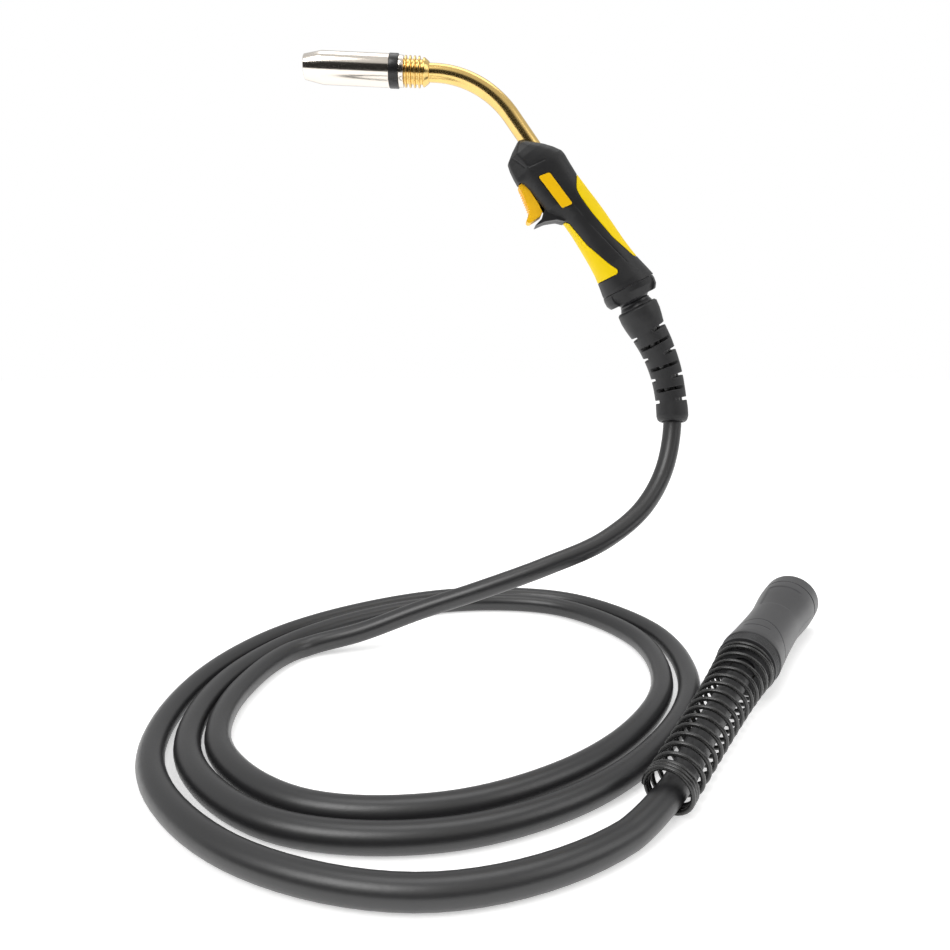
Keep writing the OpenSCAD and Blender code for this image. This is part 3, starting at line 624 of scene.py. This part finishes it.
def station(u):
    """The handle's section at a distance u, between the stations of the CAD."""
    for a, b in zip(STATIONS, STATIONS[1:]):
        if u <= b[0]:
            t = (u - a[0]) / (b[0] - a[0])
            return tuple(p + (q - p) * t for p, q in zip(a, b))
    return STATIONS[-1]


def body_loft(inset, first):
    """The handle's solid from one station on; inset shrinks it on all sides."""
    n, rows = 96, 4
    places = []
    for a, b in zip(STATIONS[first:], STATIONS[first + 1:]):
        places += [a[0] + (b[0] - a[0]) * k / rows for k in range(rows)]
    places.append(STATIONS[-1][0])
    points = []
    for u in places:
        _, top, low, w, power = station(u)
        top, low, w = top - inset, low + inset, w - inset
        for k in range(n):
            c, s = math.cos(TURN * k / n), math.sin(TURN * k / n)
            across, up = math.copysign(abs(c) ** (2 / power), c), math.copysign(abs(s) ** (2 / power), s)
            corner = abs(across) + abs(up)
            flat = 1.36 + 0.3 * max(0.0, min(1.0, (u - 17) / 10))
            if up < 0 and corner > flat:
                across, up = across * flat / corner, up * flat / corner
            points.append((u, w * across, (top + low) / 2 + (top - low) / 2 * up))
    last = len(places) - 1
    faces = [tuple(range(n)), tuple(last * n + k for k in range(n))]
    faces += [(i * n + k, i * n + (k + 1) % n, (i + 1) * n + (k + 1) % n, (i + 1) * n + k)
              for i in range(last) for k in range(n)]
    return mesh_from(points, faces, AT_HANDLE)


def grown(outline, by):
    """The outline moved outward by a distance at every side."""
    count = len(outline)
    area = sum(outline[i - 1][0] * outline[i][1] - outline[i][0] * outline[i - 1][1] for i in range(count))
    out = []
    for i in range(count):
        p, a, b = Vector(outline[i]), Vector(outline[i - 1]), Vector(outline[(i + 1) % count])
        d1, d2 = (p - a).normalized(), (b - p).normalized()
        side = Vector((d1.y + d2.y, -d1.x - d2.x)).normalized() * (by if area > 0 else -by)
        out.append(tuple(p + side / max(0.4, math.sqrt((1 + d1.dot(d2)) / 2))))
    return out


def rod(x0, x1, r, place):
    return lathe([(x0, ON_AXIS), (x0, r), (x1, r), (x1, ON_AXIS)], place, 48)


def strip(line, width):
    """A narrow outline along an open line of points."""
    left, right = [], []
    for i, p in enumerate(line):
        ahead = (Vector(line[min(i + 1, len(line) - 1)]) - Vector(line[max(i - 1, 0)])).normalized()
        side = Vector((-ahead.y, ahead.x)) * width / 2
        left.append(tuple(Vector(p) + side))
        right.append(tuple(Vector(p) - side))
    return left + right[::-1]


def through(outline):
    """An outline in the handle's side, cut or kept from side to side."""
    return plate(outline, -WIDE, WIDE, AT_HANDLE)


def behind_ball():
    """The space that the collar and the boot take, behind a plane just before the ball's centre."""
    return block((-2.5, -50, -50), (80, 50, 50), AT_BALL)


# The shells: the whole outside with recesses for the inlays, then the cuts for the trigger, the neck, the
# labels, the lines and the screws
palm_edge, front_edge = rounded(PALM, 4), rounded(FRONT, 3)
body = body_loft(0, 0)
body = combine(body, [plate(rounded(GUARD, 1.2), -10, 10, AT_HANDLE)], "UNION")
body = combine(body, [
    behind_ball(),
    through(grown(palm_edge, INLAY_GAP)),
    through(grown(front_edge, INLAY_GAP))], "DIFFERENCE")
core = combine(body_loft(1.3, 1), [behind_ball()], "DIFFERENCE")
body = combine(body, [core], "UNION")
under = body_loft(0.6, 0)
grooves = [combine(through(strip(line, 0.9)), [under.copy()], "DIFFERENCE") for line in LINES]
body = combine(body, grooves + [
    block((20.9, -8, -60), (57.2, 8, -17.6), AT_HANDLE),
    rod(-20, 12, NECK_D / 2 + 0.05, AT_HANDLE),
    plate(grown(LABEL, 0.5), 16.2, WIDE, AT_HANDLE),
    plate(grown(LABEL, 0.5), -WIDE, -16.2, AT_HANDLE)], "DIFFERENCE")
body_left = combine(body.copy(), [block((-60, -60, -60), (240, 0.04, 120), AT_HANDLE)], "DIFFERENCE")
wells = [lathe([(6, ON_AXIS), (6, 3), (40, 3), (40, ON_AXIS)],
               AT_HANDLE @ Matrix.Translation((u, 0, z)) @ Matrix.Rotation(math.pi / 2, 4, "Z"), 32)
         for u, z in SCREWS]
body_left = combine(body_left, wells, "DIFFERENCE")
body_right = combine(body, [block((-60, -0.04, -60), (240, 60, 120), AT_HANDLE)], "DIFFERENCE")
piece("handle_left", softened(body_left, 0.45, 3), "handle_plastic", "handle", ["shell_left"], 60)
piece("handle_right", softened(body_right, 0.45, 3), "handle_plastic", "handle", ["shell_right"], 60)


def grip_inlay(name, edge, node):
    mesh = combine(body_loft(0, 0), [through(edge)], "INTERSECT")
    mesh = combine(mesh, [body_loft(1.25, 0), behind_ball()], "DIFFERENCE")
    piece(name, softened(mesh, 0.4, 3), "yellow_grip", "handle", [node], 60)


grip_inlay("palm_grip", palm_edge, "palm_inlay")
grip_inlay("front_grip", front_edge, "front_inlay")
LABEL_IN, LABEL_OUT = 16.4, 17.75
label = combine(plate(rounded(LABEL, 1.0, 3), LABEL_IN, LABEL_OUT, AT_HANDLE),
                [plate(rounded(LABEL, 1.0, 3), -LABEL_OUT, -LABEL_IN, AT_HANDLE)], "UNION")
piece("label_pair", softened(label, 0.3, 3), "label_yellow", "handle", ["label_plates"], 60)

# ---------- Trigger ----------
# Side outline, with nine ribs along the front that the finger pulls
TRIGGER_SIDE = 7.4
ribbed = [(21.5, -25), (21.6, -31), (26, -32.2)]
for i in range(9):
    u = 27 + 2.2 * i
    z = -32.45 - 0.235 * (u - 27)
    ribbed += [(u - 0.75, z - 0.1), (u - 0.4, z + 0.95), (u + 0.4, z + 0.95), (u + 0.75, z - 0.1)]
ribbed += [(46.9, -37.6), (49.4, -41.6), (51.4, -43.2), (53.4, -42.6), (54.2, -41), (55, -30),
           (53, -26.8), (46, -25.6), (28, -25)]
lever = plate(ribbed, -TRIGGER_SIDE, TRIGGER_SIDE, AT_HANDLE)
lever = combine(lever, [
    plate([(21.5, -25.2), (21.5, -21.5), (27.5, -21.5), (28, -25.2)], -TRIGGER_SIDE, 3.6, AT_HANDLE),
    plate([(40.5, -26), (40.5, -20.8), (43.5, -20.8), (43.5, -26)], -2, 2, AT_HANDLE)], "UNION")
piece("trigger_lever", softened(lever, 0.25, 2), "trigger_orange", "trigger", ["trigger"], 60)

# ---------- Collar at the ball ----------
BALL_SEAT = 20.55
seat = [(-11, ON_AXIS), (-11, 18.0)] + [(x, math.sqrt(BALL_SEAT**2 - x * x)) for x in range(-9, 10, 2)] \
    + [(11, 18.7), (11, ON_AXIS)]
ring = lathe([(-10, 14), (-10, 19.2), (-2.4, 21), (-2.4, 24.2), (3, 23.6), (9.8, 20.2), (10.2, 19.6),
              (10.2, 14)], AT_BALL)
lobes = lathe([(-2.4, 14), (-2.4, 24.4), (1, 25), (6, 24.6), (9.6, 22.6), (10.2, 21.8), (10.2, 14)], AT_BALL)
lobes = combine(lobes, [block((-10, -14, -30), (20, 14, 30), AT_BALL)], "INTERSECT")
ring = combine(combine(ring, [lobes], "UNION"), [lathe(seat, AT_BALL)], "DIFFERENCE")
piece("ball_collar", softened(ring, 0.35, 3), "handle_plastic", "handle", ["rear_collar"], 60)

# ---------- Bend protector ----------
# Place along the route and radius there
BOOT = [(0.205, 17.4), (0.28, 19), (0.61, 19), (0.9, 18.2), (1.27, 16.6), (1.75, 16), (2.24, 15.4),
        (2.74, 15), (3.25, 14.7), (3.76, 14.5), (4.3, 14.4), (4.62, 14.8), (4.95, 14.8), (5.1, 13.8),
        (5.18, 12)]
SLOT_GAP, BRIDGE = 3.0, 15.5
SLOT_DEEP = 30  # past the boot's side
SLOTS, FIRST_SLOT, SLOT_STEP = 7, 1.316, 0.49  # places along the route
SLOT_TURNS = [math.radians(30), math.radians(102)]
places, radii = [], []
for (u0, r0), (u1, r1) in zip(BOOT, BOOT[1:]):
    steps = max(1, round((u1 - u0) / 0.1))
    for k in range(steps):
        places.append(on_curve(ROUTE, u0 + (u1 - u0) * k / steps))
        radii.append(r0 + (r1 - r0) * k / steps)
places.append(on_curve(ROUTE, BOOT[-1][0]))
radii.append(BOOT[-1][1])
SIDEWAYS = Vector((0, 1, 0))
boot = sweep(places, radii, 96, SIDEWAYS)
bore_line = [on_curve(ROUTE, 0.16 + 0.1 * k) for k in range(52)]
cuts = [sweep(bore_line, [HOSE_R + 1] * len(bore_line), 48, SIDEWAYS), rod(17, 34, 12, AT_BALL)]
for k in range(SLOTS):
    u = FIRST_SLOT + SLOT_STEP * k
    t = (on_curve(ROUTE, u + 0.02) - on_curve(ROUTE, u - 0.02)).normalized()
    across = t.cross(SIDEWAYS).normalized()
    turn = Matrix((t, across.cross(t), across)).transposed().to_4x4()
    at_slot = Matrix.Translation(on_curve(ROUTE, u)) @ turn @ Matrix.Rotation(SLOT_TURNS[k % 2], 4, "X")
    for z in (BRIDGE / 2, -BRIDGE / 2 - SLOT_DEEP):
        cuts.append(block((-SLOT_GAP / 2, -SLOT_DEEP, z), (SLOT_GAP / 2, SLOT_DEEP, z + SLOT_DEEP), at_slot))
boot = combine(boot, cuts, "DIFFERENCE")
piece("boot_skin", softened(boot, 0.45, 3), "black_rubber", "cable_side", ["bend_protector"], 60)

cad_box = [list(v) for v in cad_box]
